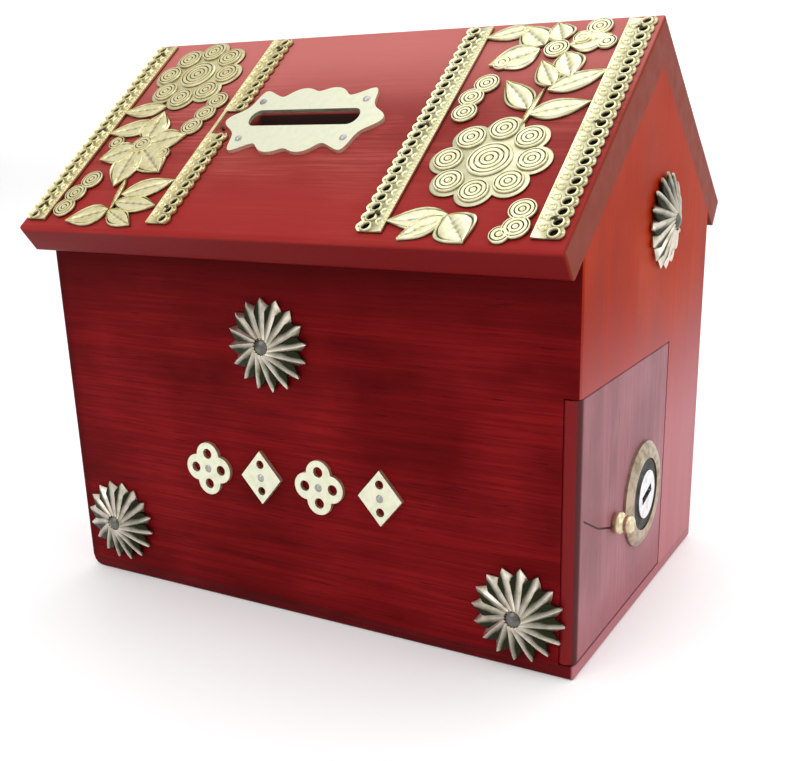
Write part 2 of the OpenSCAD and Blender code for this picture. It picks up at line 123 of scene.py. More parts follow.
# builds one material's nodes
class Nodes:
    def __init__(self, name):
        self.mat = bpy.data.materials.new(name)
        self.mat.use_nodes = True
        self.tree = self.mat.node_tree
        self.shader = self.tree.nodes["Principled BSDF"]
        self.coords = self.tree.nodes.new("ShaderNodeTexCoord").outputs["Object"]

    def add(self, kind, **inputs):
        n = self.tree.nodes.new(kind)
        for key, value in inputs.items():
            self.put(n.inputs[key.replace("_", " ")], value)
        return n

    def put(self, socket, value):
        if isinstance(value, bpy.types.NodeSocket):
            self.tree.links.new(value, socket)
        else:
            socket.default_value = value

    def noise(self, stretch, detail, shift=(0, 0, 0)):
        scale = [v / mm for v in stretch]
        mapping = self.add("ShaderNodeMapping", Vector=self.coords, Location=shift, Scale=scale)
        noise = self.add("ShaderNodeTexNoise", Vector=mapping.outputs[0], Scale=1.0, Detail=detail)
        return noise.outputs["Fac"]

    def spread(self, value, low, high, toLow=0.0, toHigh=1.0, soft=False):
        n = self.add("ShaderNodeMapRange", Value=value)
        n.interpolation_type = "SMOOTHSTEP" if soft else "LINEAR"
        for i, v in enumerate((low, high, toLow, toHigh)):
            n.inputs[i + 1].default_value = v
        return n.outputs[0]

    def window(self, value, rise, fall):
        # one between a rising and a falling edge
        return self.maths("MULTIPLY", self.spread(value, *rise), self.spread(value, *fall))

    def blend(self, amount, a, b):
        n = self.tree.nodes.new("ShaderNodeMix")
        n.data_type = "RGBA"
        self.put(n.inputs[0], amount)
        self.put(n.inputs[6], (*a, 1) if isinstance(a, tuple) else a)
        self.put(n.inputs[7], (*b, 1) if isinstance(b, tuple) else b)
        return n.outputs[2]

    def maths(self, kind, a, b):
        n = self.tree.nodes.new("ShaderNodeMath")
        n.operation = kind
        self.put(n.inputs[0], a)
        self.put(n.inputs[1], b)
        return n.outputs[0]

    def awayFrom(self, value, middle):
        return self.maths("ABSOLUTE", self.maths("SUBTRACT", value, middle), 0)

    def bump(self, height, depth, strength):
        n = self.add("ShaderNodeBump", Height=height, Distance=depth * mm, Strength=strength)
        self.put(self.shader.inputs["Normal"], n.outputs[0])

    def finish(self, **values):
        for key, value in values.items():
            self.put(self.shader.inputs[key.replace("_", " ")], value)
        return self.mat


# how far each grain is stretched: along the wood, across it, and its detail
woodGrain = {"band": (0.014, 0.22, 3), "fibre": (0.05, 1.9, 5), "pore": (0.11, 3.4, 2),
             "blotch": (0.035, 0.035, 3)}
crackShape = {"edge": (0.30, 0.16), "overlap": 0.2, "outside": (65.2, 65.6), "colour": (0.030, 0.003, 0.004)}
# painted shade seen through the strips' pierced links: its edge, fade and colour
holeShadeShape = {"edge": (1.2, 1.0), "fade": 0.2, "colour": (0.012, 0.006, 0.004)}
# where the roof's top surface ends and sawn wood begins, and the coin slot's inside, painted dark as its
# shadow
sawnShape = {"below": (-0.5, -1.2), "inside": (-0.1, -0.4), "slotMiddle": -5.5, "slotEdge": (14, 13),
             "slotLow": (93, 94), "end": (0.5, 0.1), "slotShadowColour": (0.020, 0.004, 0.003)}


def grainNoise(n, s, kind):
    along, across, detail = woodGrain[kind]
    stretch = [along if i == s["grainAxis"] else across for i in range(3)]
    return n.noise(stretch, detail, s.get("shift", (0, 0, 0)))


def sideShades(n, split, colour, shades):
    # a colour fades in along one axis: painted light and shade on some boards, the stain's own tone on others
    for axis, low, high, shade, amount in shades:
        mask = n.spread(split.outputs[axis], low * mm, high * mm, 0, amount, True)
        colour = n.blend(mask, colour, shade)
    return colour


def hairlineCracks(n, split, colour, runs):
    # thin dark lines on the door's outer face, each from one Y and Z to another
    x, y, z = split.outputs
    extra = crackShape["overlap"]
    for (y0, z0), (y1, z1) in runs:
        line = n.spread(y, y0 * mm, y1 * mm, z0 * mm, z1 * mm)
        near = n.spread(n.awayFrom(z, line), *[v * mm for v in crackShape["edge"]])
        along = n.window(y, ((y0 - extra) * mm, (y0 + extra) * mm), ((y1 + extra) * mm, (y1 - extra) * mm))
        mask = n.maths("MULTIPLY", near, along)
        mask = n.maths("MULTIPLY", mask, n.spread(x, *[v * mm for v in crackShape["outside"]]))
        colour = n.blend(mask, colour, crackShape["colour"])
    return colour


def holeShadeLines(n, split, colour, lines):
    # painted shade on the wood along the strips' edges, seen through the pierced links: X, then start and end
    # down the slope
    fade = holeShadeShape["fade"] * mm
    for centre, high, low in lines:
        off = n.awayFrom(split.outputs[0], centre * mm)
        top, foot = (ridgeHeight - v * mm * math.sin(roofSlope) for v in (high, low))
        along = n.window(split.outputs[2], (foot, foot + fade), (top, top - fade))
        near = n.spread(off, *[v * mm for v in holeShadeShape["edge"]])
        colour = n.blend(n.maths("MULTIPLY", near, along), colour, holeShadeShape["colour"])
    return colour


def sawnWood(n, split, colour, s):
    # cut edges below the roof's own surface, painted shadow in the coin slot's inside, and end grain
    x, y, z = split.outputs
    away = n.maths("MULTIPLY", n.maths("ABSOLUTE", y, 0), math.sin(roofSlope))
    drop = n.maths("MULTIPLY", n.maths("SUBTRACT", z, ridgeHeight), math.cos(roofSlope))
    depth = n.maths("ADD", away, drop)
    colour = n.blend(n.spread(depth, *[v * mm for v in sawnShape["below"]]), colour, s["cut"])
    across = n.awayFrom(x, sawnShape["slotMiddle"] * mm)
    inSlot = n.maths("MULTIPLY", n.spread(across, *[v * mm for v in sawnShape["slotEdge"]]),
                     n.spread(z, *[v * mm for v in sawnShape["slotLow"]]))
    inside = n.spread(depth, *[v * mm for v in sawnShape["inside"]])
    colour = n.blend(n.maths("MULTIPLY", inside, inSlot), colour, sawnShape["slotShadowColour"])
    ends = n.spread(n.maths("ABSOLUTE", x, 0), *[halfLong - v * mm for v in sawnShape["end"]])
    return n.blend(ends, colour, s["endGrain"])


def stainedWood(name, s):
    n = Nodes(name)
    band, fibre, pore, blotch = [grainNoise(n, s, kind) for kind in woodGrain]
    colour = n.blend(n.spread(band, 0.38, 0.64), s["dark"], s["mid"])
    colour = n.blend(n.spread(blotch, 0.42, 0.72), colour, s["light"])
    colour = n.blend(n.spread(fibre, 0.62, 0.40, 0, s.get("fibre", 0.5)), colour, s["dark"])
    colour = n.blend(n.spread(pore, 0.36, 0.26, 0, 0.75), colour, s["pore"])
    split = n.add("ShaderNodeSeparateXYZ", Vector=n.coords)
    colour = sideShades(n, split, colour, s.get("shades", ()))
    colour = hairlineCracks(n, split, colour, s.get("hairlines", ()))
    colour = holeShadeLines(n, split, colour, s.get("holeShade", ()))
    if "cut" in s:
        colour = sawnWood(n, split, colour, s)
    n.bump(n.maths("ADD", fibre, n.spread(pore, 0.26, 0.36)), 0.05, 0.5)
    rough = n.spread(band, 0.3, 0.7, s["rough"], s["rough"] + 0.12)
    return n.finish(Base_Color=colour, Roughness=rough, Specular_IOR_Level=s["gloss"])


# shades: axis, where the shade starts and is full, its colour and amount; some are painted light and shade,
# some the stain's own tone
crimson = (0.172, 0.0042, 0.0058)
woods = {
    "frontWood": {"grainAxis": 0, "dark": (0.090, 0.0016, 0.0022), "mid": crimson,
                  "light": (0.23, 0.008, 0.010), "pore": (0.035, 0.001, 0.002), "rough": 0.42,
                  "gloss": 0.03,
                  # the first is painted shade, darker towards the top under the eave; the second is darker
                  # towards the left end
                  "shades": ((2, 62, 84, (0.075, 0.0016, 0.0022), 0.75),
                             (0, -62, -66, (0.045, 0.001, 0.002), 0.6))},
    "backWood": {"grainAxis": 0, "dark": (0.090, 0.0016, 0.0022), "mid": crimson,
                 "light": (0.23, 0.008, 0.010), "pore": (0.035, 0.001, 0.002), "rough": 0.42,
                 "gloss": 0.05, "shift": (3, 1, 7)},
    "roofWood": {"grainAxis": 0, "dark": (0.235, 0.016, 0.013), "mid": (0.335, 0.042, 0.034),
                 "light": (0.44, 0.092, 0.078), "pore": (0.16, 0.010, 0.009), "rough": 0.4,
                 "gloss": 0.10, "shift": (1, 4, 2), "cut": (0.155, 0.003, 0.004),
                 "endGrain": (0.195, 0.018, 0.002), "fibre": 0.7,
                 # both are painted reflection of the sky: darker, deeper red towards the eave and pale pink
                 # towards the ridge
                 "shades": ((2, 104, 90, (0.31, 0.014, 0.012), 0.8),
                            (2, 106, 124, (0.53, 0.152, 0.136), 0.85))},
    "gableWood": {"grainAxis": 2, "dark": (0.27, 0.014, 0.001), "mid": (0.355, 0.022, 0.001),
                  "light": (0.42, 0.036, 0.003), "pore": (0.26, 0.012, 0.001), "rough": 0.38,
                  "gloss": 0.04, "fibre": 0.25,
                  # painted reflection of the pale floor: the orange stain turns pink towards the foot
                  "shades": ((2, 78, 30, (0.46, 0.18, 0.20), 0.95),)},
    # the red stain is lifted to mauve-pink by a painted reflection of the pale floor
    "doorWood": {"grainAxis": 2, "dark": (0.24, 0.090, 0.105), "mid": (0.36, 0.150, 0.175),
                 "light": (0.42, 0.190, 0.215), "pore": (0.17, 0.040, 0.055), "rough": 0.44,
                 "gloss": 0.15, "fibre": 0.45,
                 # darker towards the foot; then painted shade where the rounded front corner turns from the
                 # light; then the front wall's crimson stain on the edge seen from the front
                 "shades": ((2, 20, 4, (0.33, 0.085, 0.100), 0.5),
                            (1, -40.6, -41.6, (0.055, 0.0014, 0.002), 0.9),
                            (1, -42.3, -42.6, crimson, 1.0)),
                 "hairlines": (((-39.6, 33.3), (-31.0, 28.7)), ((-31.0, 28.7), (-23.0, 26.0)))},
    "baseWood": {"grainAxis": 0, "dark": (0.060, 0.002, 0.003), "mid": (0.13, 0.0055, 0.0075),
                 "light": (0.17, 0.008, 0.010), "pore": (0.02, 0.001, 0.002), "rough": 0.45,
                 "gloss": 0.05,
                 # the ends take the gables' foot pink, a painted reflection of the pale floor
                 "shades": ((0, 65.2, 65.8, (0.42, 0.16, 0.18), 0.95),
                            (0, -65.2, -65.8, (0.42, 0.16, 0.18), 0.95))},
    "darkWood": {"grainAxis": 0, "dark": (0.05, 0.008, 0.006), "mid": (0.11, 0.018, 0.014),
                 "light": (0.15, 0.028, 0.02), "pore": (0.02, 0.004, 0.003), "rough": 0.5,
                 "gloss": 0.2},
}
# the painted shade under the borders stops where the slot plate's tip lies
woods["frontRoofWood"] = dict(woods["roofWood"], holeShade=(
    (-62.9, 1.8, 63), (-25.1, 1.8, 26.8), (-25.1, 35.6, 63), (25.1, 1.8, 63), (62.9, 1.8, 63)))
materials = {name: stainedWood(name, s) for name, s in woods.items()}


metalGrain = {"stain": 0.5, "brush": (2.5, 2.5, 2.5), "bump": 0.02, "hollow": (0.15, 0.8)}


def metal(name, s):
    n = Nodes(name)
    stain = n.noise([metalGrain["stain"]] * 3, 5)
    brush = n.noise(s.get("brush", metalGrain["brush"]), 3)
    colour = n.blend(n.spread(stain, 0.42, 0.72), s["bright"], s["dull"])
    # deep: tarnish in the lace strips' hollows; on the rosette petals the level given is painted light and
    # shade
    if "deep" in s:
        relief = n.tree.nodes.new("ShaderNodeAttribute")
        relief.attribute_name = "relief"
        colour = n.blend(n.spread(relief.outputs["Fac"], *metalGrain["hollow"]), s["deep"], colour)
    n.bump(brush, s.get("bump", metalGrain["bump"]), 0.4)
    rough = n.spread(stain, 0.3, 0.7, s["rough"], s["rough"] + 0.15)
    return n.finish(Base_Color=colour, Metallic=1.0, Roughness=rough)


# deep is the tarnish left in a stamping's hollows; on the rosette petals it is painted shade on one half of
# each fold
metals = {
    "laceBrass": {"bright": (0.88, 0.86, 0.60), "dull": (0.72, 0.68, 0.42), "rough": 0.34,
                  "deep": (0.060, 0.045, 0.020)},
    "goldBrass": {"bright": (0.84, 0.78, 0.48), "dull": (0.62, 0.54, 0.28), "rough": 0.34,
                  "deep": (0.060, 0.045, 0.020)},
    "plateBrass": {"bright": (0.82, 0.82, 0.64), "dull": (0.72, 0.75, 0.56), "rough": 0.4,
                   "brush": (0.3, 4, 4)},
    "petalBrass": {"bright": (0.78, 0.70, 0.60), "dull": (0.46, 0.45, 0.32), "rough": 0.26,
                   "deep": (0.022, 0.024, 0.012)},
    "turnedBrass": {"bright": (0.46, 0.37, 0.27), "dull": (0.24, 0.19, 0.12), "rough": 0.3},
    "knobBrass": {"bright": (0.78, 0.68, 0.46), "dull": (0.50, 0.42, 0.24), "rough": 0.24},
    "steelWire": {"bright": (0.46, 0.46, 0.45), "dull": (0.26, 0.26, 0.25), "rough": 0.32},
    "darkSteel": {"bright": (0.030, 0.027, 0.024), "dull": (0.012, 0.010, 0.009), "rough": 0.4},
    "nailSteel": {"bright": (0.17, 0.17, 0.15), "dull": (0.06, 0.06, 0.05), "rough": 0.3},
    "chromePlate": {"bright": (0.84, 0.84, 0.85), "dull": (0.60, 0.60, 0.62), "rough": 0.14, "bump": 0.005},
}
materials.update({name: metal(name, s) for name, s in metals.items()})


# shared making
making = {"weld": 0.002, "flatAngle": 0.4, "boardAngle": 28, "metalAngle": 32, "arcSteps": 4}


def meshPiece(name, bm, material, body, nodes):
    me = bpy.data.meshes.new(name)
    bm.to_mesh(me)
    bm.free()
    me.materials.append(materials[material])
    piece = bpy.data.objects.new(name, me)
    scene.collection.objects.link(piece)
    settle(piece, body, nodes)
    return piece


def settle(piece, body, nodes):
    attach(piece, body)
    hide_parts(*nodes)


def copyOfNode(node):
    bm = bmesh.new()
    bm.from_mesh(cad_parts[node].data)
    bmesh.ops.remove_doubles(bm, verts=bm.verts, dist=making["weld"] * mm)
    flat = math.radians(making["flatAngle"])
    bmesh.ops.dissolve_limit(bm, angle_limit=flat, verts=bm.verts, edges=bm.edges)
    return bm


def smoothBy(bm, degrees):
    limit = math.radians(degrees)
    for f in bm.faces:
        f.smooth = True
    for e in bm.edges:
        e.smooth = len(e.link_faces) == 2 and e.calc_face_angle(3.0) < limit


def roundEdge(bm, corner, normalA, normalB, radius):
    # cuts rings beside a square edge, then pulls them onto its arc
    corner, normalA, normalB = Vector(corner), Vector(normalA), Vector(normalB)
    steps = making["arcSteps"]
    depths = [radius * (1 - math.tan(math.radians(45 * k / steps))) for k in range(steps)]
    for d in depths:
        for n in (normalA, normalB):
            geom = bm.verts[:] + bm.edges[:] + bm.faces[:]
            bmesh.ops.bisect_plane(bm, geom=geom, plane_co=corner - n * d, plane_no=n, dist=1e-7)
    for v in bm.verts:
        off = corner - v.co
        a, b = radius - off.dot(normalA), radius - off.dot(normalB)
        length = math.hypot(a, b)
        if a > -1e-7 and b > -1e-7 and length > radius:
            v.co += (normalA * a + normalB * b) * (radius / length - 1)


# boards
print("boards")
roofThickness = 7.5
edgeRadii = {"plumbCorner": 1.0, "softBottom": 0.7, "wornBottom": 4.5, "rearBottom": 2.5,
             "eave": 1.2, "roofEnd": 0.6, "door": 0.35, "doorFoot": 0.5}


def bodyEdges(bm):
    for x, nx in ((-halfLong, left), (halfLong, right)):
        for y, ny in ((-halfDeep, front), (halfDeep, back)):
            roundEdge(bm, (x, y, 0), nx, ny, edgeRadii["plumbCorner"] * mm)
    roundEdge(bm, (-halfLong, 0, 0), left, down, edgeRadii["wornBottom"] * mm)
    roundEdge(bm, (halfLong, 0, 0), right, down, edgeRadii["softBottom"] * mm)
    roundEdge(bm, (0, -halfDeep, 0), front, down, edgeRadii["softBottom"] * mm)
    roundEdge(bm, (0, halfDeep, 0), back, down, edgeRadii["rearBottom"] * mm)


def roofEdges(bm, side):
    slopeDown = Vector((0, side * math.cos(roofSlope), -math.sin(roofSlope)))
    outward = Vector((0, side * math.sin(roofSlope), math.cos(roofSlope)))
    eave = Vector((0, side * cadHigh.y, ridgeHeight - cadHigh.y * math.tan(roofSlope)))
    under = eave - outward * roofThickness * mm
    roundEdge(bm, eave, slopeDown, outward, edgeRadii["eave"] * mm)
    roundEdge(bm, under, slopeDown, -outward, edgeRadii["eave"] * mm)
    for x, nx in ((-halfLong, left), (halfLong, right)):
        roundEdge(bm, (x, 0, ridgeHeight), nx, outward, edgeRadii["roofEnd"] * mm)
        roundEdge(bm, (x, eave.y, eave.z), nx, slopeDown, edgeRadii["roofEnd"] * mm)


# each board: its node, material, slot and rounded edges
boards = {
    "frontWall": ("front_wall", "frontWood", "red_wood", bodyEdges),
    "backWall": ("back_wall", "backWood", "red_wood", bodyEdges),
    "leftGable": ("left_gable_wall", "gableWood", "orange_wood", bodyEdges),
    "rightGable": ("right_gable_wall", "gableWood", "orange_wood", bodyEdges),
    "baseBoard": ("base_board", "baseWood", "dark_wood", bodyEdges),
    "frontRoof": ("front_roof_board", "frontRoofWood", "roof_wood", lambda bm: roofEdges(bm, -1)),
    "backRoof": ("back_roof_board", "roofWood", "roof_wood", lambda bm: roofEdges(bm, 1)),
    "stopCleat": ("door_stop_cleat", "darkWood", "dark_wood", None),
}
for name, (node, material, slot, edges) in boards.items():
    board = copyOfNode(node)
    if edges:
        edges(board)
    smoothBy(board, making["boardAngle"])
    meshPiece(name, board, material, "carcass", [node])

door = copyOfNode("door_panel")
doorLow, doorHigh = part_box("door_panel")
roundEdge(door, doorHigh, right, up, edgeRadii["door"] * mm)
roundEdge(door, (doorHigh.x, 0, doorLow.z), right, down, edgeRadii["doorFoot"] * mm)
roundEdge(door, doorHigh, right, back, edgeRadii["door"] * mm)
smoothBy(door, making["boardAngle"])
meshPiece("doorPanel", door, "doorWood", "door", ["door_panel"])


# geometry nodes
def newTree(name, inputs):
    tree = bpy.data.node_groups.new(name, "GeometryNodeTree")
    tree.interface.new_socket("Geometry", in_out="OUTPUT", socket_type="NodeSocketGeometry")
    for label, kind, value in inputs:
        socket = tree.interface.new_socket(label, in_out="INPUT", socket_type=kind)
        if value is not None:
            socket.default_value = value
    return tree, tree.nodes.new("NodeGroupInput"), tree.nodes.new("NodeGroupOutput")


def endTree(tree, geometry, given, out):
    realize = tree.nodes.new("GeometryNodeRealizeInstances")
    paint = tree.nodes.new("GeometryNodeSetMaterial")
    tree.links.new(geometry, realize.inputs[0])
    tree.links.new(realize.outputs[0], paint.inputs["Geometry"])
    tree.links.new(given.outputs["Material"], paint.inputs["Material"])
    tree.links.new(paint.outputs[0], out.inputs[0])


def runTree(tree, values):
    holder = bpy.data.objects.new("holder", bpy.data.meshes.new("holder"))
    scene.collection.objects.link(holder)
    mod = holder.modifiers.new("build", "NODES")
    mod.node_group = tree
    for item in tree.interface.items_tree:
        if item.in_out == "INPUT" and item.name in values:
            mod[item.identifier] = values[item.name]
    graph = bpy.context.evaluated_depsgraph_get()
    made = bpy.data.meshes.new_from_object(holder.evaluated_get(graph))
    bpy.data.objects.remove(holder)
    return made


def bmMesh(bm):
    me = bpy.data.meshes.new("stamped")
    bm.to_mesh(me)
    bm.free()
    return me


def sourceOf(name, me):
    # an object for the trees to copy, removed once they have run
    source = bpy.data.objects.new(name, me)
    scene.collection.objects.link(source)
    return source


def rowTree():
    # copies of one shape in a straight row
    tree, given, out = newTree("rowOfShapes", [
        ("Shape", "NodeSocketObject", None), ("Count", "NodeSocketInt", 20),
        ("Step", "NodeSocketVector", (0, -0.0026, 0)), ("Start", "NodeSocketVector", (0, 0, 0)),
        ("Material", "NodeSocketMaterial", None)])
    line = tree.nodes.new("GeometryNodeMeshLine")
    info = tree.nodes.new("GeometryNodeObjectInfo")
    place = tree.nodes.new("GeometryNodeInstanceOnPoints")
    link = tree.links.new
    link(given.outputs["Count"], line.inputs["Count"])
    link(given.outputs["Start"], line.inputs["Start Location"])
    link(given.outputs["Step"], line.inputs["Offset"])
    link(given.outputs["Shape"], info.inputs["Object"])
    link(line.outputs[0], place.inputs["Points"])
    link(info.outputs["Geometry"], place.inputs["Instance"])
    endTree(tree, place.outputs[0], given, out)
    return tree


def ringTree():
    # copies of one shape round a centre, each turned outward
    tree, given, out = newTree("ringOfShapes", [
        ("Shape", "NodeSocketObject", None), ("Count", "NodeSocketInt", 8),
        ("Radius", "NodeSocketFloat", 0.0088), ("Material", "NodeSocketMaterial", None)])
    ring = tree.nodes.new("GeometryNodeMeshCircle")
    info = tree.nodes.new("GeometryNodeObjectInfo")
    place = tree.nodes.new("GeometryNodeInstanceOnPoints")
    index = tree.nodes.new("GeometryNodeInputIndex")
    share = tree.nodes.new("ShaderNodeMath")
    share.operation = "DIVIDE"
    turn = tree.nodes.new("ShaderNodeMath")
    turn.operation = "MULTIPLY"
    turn.inputs[1].default_value = 2 * math.pi
    aim = tree.nodes.new("ShaderNodeCombineXYZ")
    link = tree.links.new
    link(given.outputs["Count"], ring.inputs["Vertices"])
    link(given.outputs["Radius"], ring.inputs["Radius"])
    link(given.outputs["Shape"], info.inputs["Object"])
    link(ring.outputs[0], place.inputs["Points"])
    link(info.outputs["Geometry"], place.inputs["Instance"])
    link(index.outputs[0], share.inputs[0])
    link(given.outputs["Count"], share.inputs[1])
    link(share.outputs[0], turn.inputs[0])
    link(turn.outputs[0], aim.inputs["Z"])
    link(aim.outputs[0], place.inputs["Rotation"])
    endTree(tree, place.outputs[0], given, out)
    return tree


rowOfShapes, ringOfShapes = rowTree(), ringTree()


# stamped shapes, flat in millimetres, +Z out of the sheet
def lathe(profile, count):
    bm = bmesh.new()
    rings = []
    for r, z in profile:
        if r < 1e-6:
            rings.append([bm.verts.new((0, 0, z * mm))])
        else:
            rings.append([bm.verts.new((r * mm * math.cos(2 * math.pi * k / count),
                                        r * mm * math.sin(2 * math.pi * k / count), z * mm))
                          for k in range(count)])
    for a, b in zip(rings, rings[1:]):
        for k in range(count):
            j = (k + 1) % count
            quad = [a[k % len(a)], a[j % len(a)], b[j % len(b)], b[k % len(b)]]
            bm.faces.new(list(dict.fromkeys(quad)))
    if len(rings[0]) > 1:
        bm.faces.new(rings[0])
    bmesh.ops.recalc_face_normals(bm, faces=bm.faces)
    smoothBy(bm, 60)
    return bm


# a coil flower's disc: heights, and shares of the radius or of one turn
coilShape = {"top": 0.74, "groove": 0.24, "wall": 0.88, "rise": 0.08, "floor": 0.24, "fall": 0.34}


def coilProfile(radius, turns):
    # rolled edge, then one low ridge for every turn of the coil
    s = coilShape
    profile = [(radius * 0.98, 0), (radius, 0.5), (radius * 0.95, s["top"])]
    step = radius * s["wall"] / turns
    for k in range(turns):
        outer = radius * s["wall"] - k * step
        profile += [(outer, s["top"]), (outer - step * s["rise"], s["groove"]),
                    (outer - step * s["floor"], s["groove"]), (outer - step * s["fall"], s["top"] + 0.01)]
    return profile + [(step * 0.1, s["top"] + 0.02), (0, 0.7)]


# rim, groove and midrib: height, place across the half leaf, width
leafShape = {"rows": 18, "height": 0.75, "columns": (0.10, 0.28, 0.55, 0.72, 0.80, 0.90, 1.0),
             "rim": (0.22, 0.92, 0.06), "groove": (0.36, 0.80, 0.05), "midrib": (0.30, 0, 0.16),
             "veins": 6, "veinHeight": 0.07, "veinSlant": 1.1, "stem": 0.03}


def ridge(u, height, middle, width):
    return height * math.exp(-((u - middle) / width) ** 2)


def leafBm(length, width, bend):
    # curved leaf with a raised rim, a groove inside it and a sunk midrib, from the origin along +Y
    s = leafShape
    bm = bmesh.new()
    rows = s["rows"]
    places = [-u for u in s["columns"][::-1]] + [0] + list(s["columns"])
    cols = len(places) - 1
    grid = []
    for i in range(rows + 1):
        t = i / rows
        reach = width / 2 * max(math.sin(math.pi * t ** 0.8), s["stem"])
        lean = bend * t * t
        row = []
        for u in places:
            z = s["height"] * (0.62 + 0.38 * math.sqrt(max(0, 1 - u * u)))
            z += ridge(abs(u), *s["rim"])
            z -= ridge(abs(u), *s["groove"])
            z -= ridge(u, *s["midrib"])
            wave = math.sin(2 * math.pi * (s["veins"] * t + abs(u) * s["veinSlant"]))
            z += s["veinHeight"] * wave * (1 - u * u)
            row.append(bm.verts.new(((u * reach + lean) * mm, t * length * mm, z * mm)))
        grid.append(row)
    foot = [[bm.verts.new((v.co.x, v.co.y, 0)) for v in (row[0], row[-1])] for row in grid]
    for i in range(rows):
        for j in range(cols):
            bm.faces.new((grid[i][j], grid[i][j + 1], grid[i + 1][j + 1], grid[i + 1][j]))
        bm.faces.new((foot[i][0], grid[i][0], grid[i + 1][0], foot[i + 1][0]))
        bm.faces.new((grid[i][-1], foot[i][1], foot[i + 1][1], grid[i + 1][-1]))
        bm.faces.new((foot[i][1], foot[i][0], foot[i + 1][0], foot[i + 1][1]))
    for i, flip in ((0, 1), (rows, -1)):
        ring = [foot[i][0], *grid[i], foot[i][1]][::flip]
        bm.faces.new(ring)
    bmesh.ops.recalc_face_normals(bm, faces=bm.faces)
    smoothBy(bm, 50)
    return bm


# ovals: half width, half length and height, from the pierced hole outward
linkShape = {"points": 16, "offset": 0.15, "scallop": 0.75, "edgeHeight": 0.74, "seamHeight": 0.50,
             "ovals": ((0.74, 0.88, 0.0), (0.74, 0.88, 0.42), (0.92, 1.06, 0.86), (1.14, 1.20, 0.84),
                       (1.34, 1.26, 0.42))}


def linkCell(pitch, width, side):
    # one link of a border: a pierced oval in a raised ring, scalloped outside, flat towards the rail
    bm = bmesh.new()
    count = linkShape["points"]
    centre = side * width * linkShape["offset"]
    tall = pitch / 2
    loops = []
    for rx, ry, z in linkShape["ovals"]:
        loops.append([bm.verts.new(((centre + rx * math.cos(2 * math.pi * k / count)) * mm,
                                    ry * math.sin(2 * math.pi * k / count) * mm, z * mm))
                      for k in range(count)])
    edge = []
    for k in range(count):
        c, s = math.cos(2 * math.pi * k / count), math.sin(2 * math.pi * k / count)
        grow = 1 / max(abs(c), abs(s))
        x, y = c * grow, s * grow * tall
        outer, onSide = x * side > 0, abs(x) > 0.99
        reach = 0.5 * width - abs(centre) if outer else 0.5 * width + abs(centre)
        scallop = linkShape["scallop"] * (abs(y) / tall) ** 2 if outer and onSide else 0
        height = linkShape["edgeHeight"] if onSide else linkShape["seamHeight"]
        edge.append((centre + x * (reach - scallop), y, height))
    loops.append([bm.verts.new((x * mm, y * mm, z * mm)) for x, y, z in edge])
    loops.append([bm.verts.new((x * mm, y * mm, 0)) for x, y, z in edge])
    loops.append(loops[0])
    for a, b in zip(loops, loops[1:]):
        for k in range(count):
            bm.faces.new((a[k], a[(k + 1) % count], b[(k + 1) % count], b[k]))
    bmesh.ops.recalc_face_normals(bm, faces=bm.faces)
    return bm


def bead(radius, height):
    return lathe([(radius, 0), (radius, height * 0.45), (radius * 0.7, height * 0.85), (0, height)], 8)


# roof strips
print("roof strips")
stripShape = {"pitch": 2.6, "border": 6.0, "from": 1.2, "to": 65.0, "relief": (0.2, 0.72), "angle": 40}
# beads and scrolls stand off the border's middle, towards the rail or away from it
borderParts = {"scrollOff": 1.55, "railOff": 2.62, "edgeOff": 2.6, "bead": (0.3, 0.95), "scrollPoints": 12,
               "scroll": [(1.0, 0.3), (0.95, 0.7), (0.75, 0.95), (0.5, 0.8), (0.36, 0.36), (0, 0.5)]}
# the plain rail beside the slot plate's tip
railShape = {"off": 2.5, "width": 0.9, "height": 0.7, "overlap": 0.4, "relief": 0.9}
# each coil: radius and turns
coilParts = {"big": (4.7, 4), "petal": (3.1, 3), "small": (2.8, 3), "tiny": (2.1, 2)}
flowerShape = {"petals": 8, "ring": 8.7, "lobe": 3.95, "plate": 0.55, "lift": 0.3}
leafGrow, leafOverlap, stemWidth, looseLift = 1.32, 1.06, 2, 0.1
